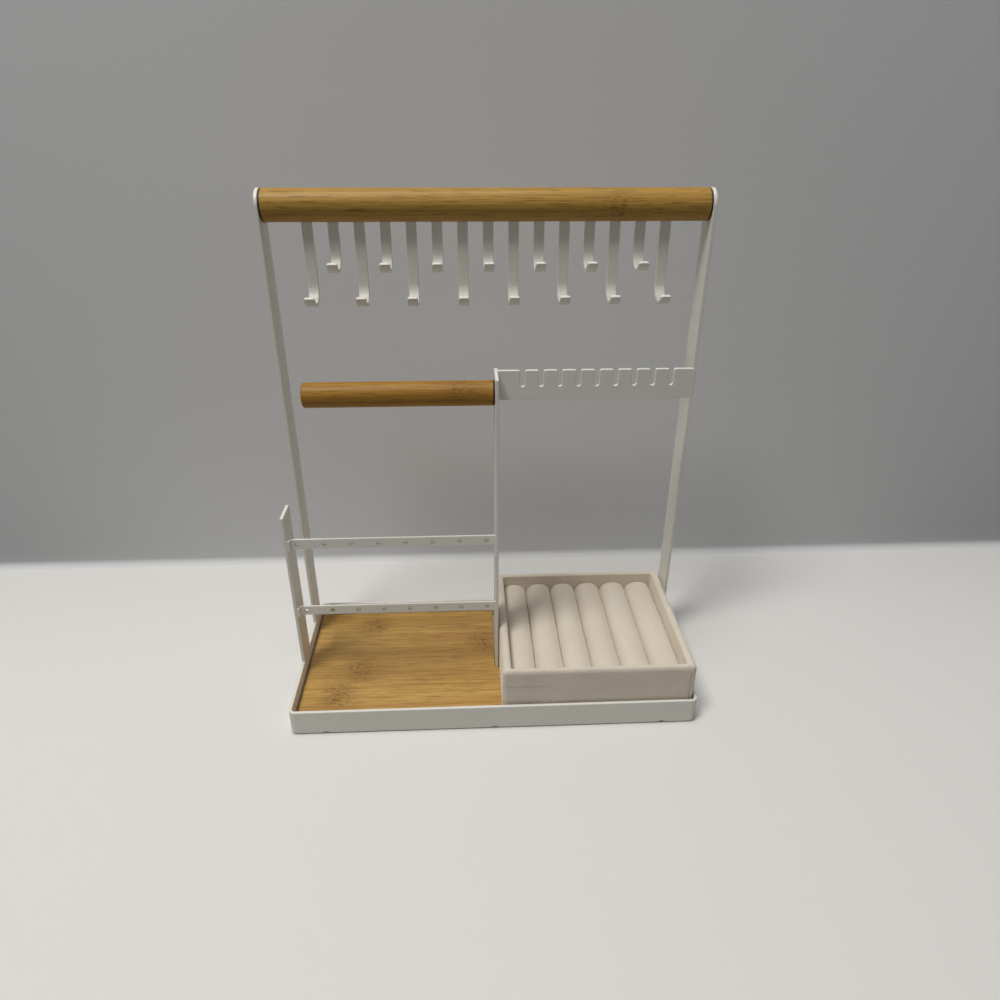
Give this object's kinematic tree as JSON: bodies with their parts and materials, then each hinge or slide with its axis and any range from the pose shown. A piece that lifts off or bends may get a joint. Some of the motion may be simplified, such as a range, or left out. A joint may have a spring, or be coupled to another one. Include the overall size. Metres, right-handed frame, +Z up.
{
  "type": "jewellery stand",
  "caption": "Table-top jewellery stand: white sheet-metal tray and posts, bamboo rods with hooks, punched earring rails, a notched arm and a velvet ring box.",
  "frame": {"origin": "on the table, under the middle of the tray, in the plane of the rubber pads' undersides", "axes": "+X to the right (ring box side), +Y to the back (top rod side), +Z up"},
  "size_m": [0.3, 0.135, 0.36],
  "materials": {
    "white_paint": "satin powder coat",
    "bamboo": "semi-gloss varnished bamboo",
    "velvet": "short-pile beige velvet",
    "board": "bare fibre board",
    "felt": "thin pressed felt",
    "pad_rubber": "matt, pale grey",
    "screw_steel": "satin, painted to match the bars"
  },
  "bodies": {
    "stand": {"tray_wall": "white_paint", "tray_floor": "white_paint", "left_upright": "white_paint", "right_upright": "white_paint", "earring_post": "white_paint", "centre_post": "white_paint", "upper_earring_rail": "white_paint", "lower_earring_rail": "white_paint", "notch_bar": "white_paint", "hook_01_long": "white_paint", "hook_02_short": "white_paint", "hook_03_long": "white_paint", "hook_04_short": "white_paint", "hook_05_long": "white_paint", "hook_06_short": "white_paint", "hook_07_long": "white_paint", "hook_08_short": "white_paint", "hook_09_long": "white_paint", "hook_10_short": "white_paint", "hook_11_long": "white_paint", "hook_12_short": "white_paint", "hook_13_long": "white_paint", "hook_14_short": "white_paint", "hook_15_long": "white_paint", "top_rod": "bamboo", "short_rod": "bamboo", "rod_screws": "screw_steel", "foot_pad_front_left": "pad_rubber", "foot_pad_front_right": "pad_rubber", "foot_pad_back_left": "pad_rubber", "foot_pad_back_right": "pad_rubber"},
    "plate": {"bamboo_plate": "bamboo"},
    "ring_box": {"ring_box_frame": "board", "ring_box_cover": "velvet", "ring_box_base_felt": "felt", "ring_roll_1": "velvet", "ring_roll_2": "velvet", "ring_roll_3": "velvet", "ring_roll_4": "velvet", "ring_roll_5": "velvet", "ring_roll_6": "velvet"}
  },
  "joints": [
    {"name": "plate_lift", "type": "slide", "parent": "stand", "child": "plate", "axis": [0, 0, 1], "range_m": [0, 0.052]},
    {"name": "ring_box_lift", "type": "slide", "parent": "plate", "child": "ring_box", "axis": [0, 0, 1], "range_m": [0, 0.06]}
  ]
}
